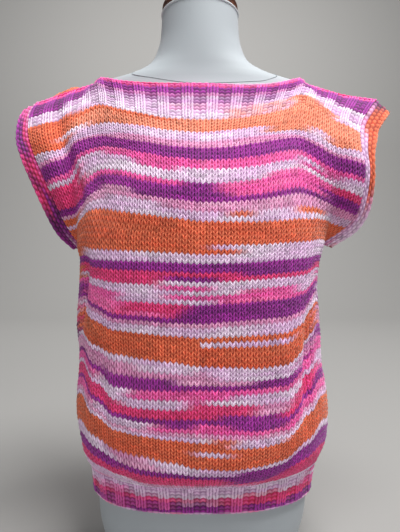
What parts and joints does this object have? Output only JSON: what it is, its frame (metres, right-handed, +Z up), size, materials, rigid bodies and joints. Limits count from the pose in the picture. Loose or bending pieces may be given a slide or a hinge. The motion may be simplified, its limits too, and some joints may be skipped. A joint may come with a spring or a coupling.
{
  "type": "short-sleeve sweater on a dress form",
  "caption": "Boxy hand-knitted short-sleeve sweater with a wide ribbed neck, ribbed hem and armhole bands, standing on a smooth dress form without limbs.",
  "frame": {"origin": "centre of the dress form's flat underside", "axes": "+Z up along the form, -Y to the sweater's front, +X to the right as the front is looked at"},
  "size_m": [0.5344, 0.2419, 0.7913],
  "materials": {
    "knit_orange": "matte wool knit, orange in the striped yarn",
    "knit_lilac": "matte wool knit, lilac in the striped yarn",
    "knit_purple": "matte wool knit, purple in the striped yarn",
    "knit_pink": "matte wool knit, pink in the striped yarn",
    "form_cloth": "smooth tight white jersey",
    "cap_wood": "dark brown satin varnish"
  },
  "bodies": {
    "root": {"front_panel": "knit_orange", "back_panel": "knit_pink", "front_neck_rib": "knit_purple", "back_neck_rib": "knit_purple", "front_hem_rib": "knit_lilac", "back_hem_rib": "knit_lilac", "left_sleeve_band": "knit_purple", "right_sleeve_band": "knit_purple", "dress_form": "form_cloth", "neck_cap": "cap_wood"}
  },
  "joints": []
}
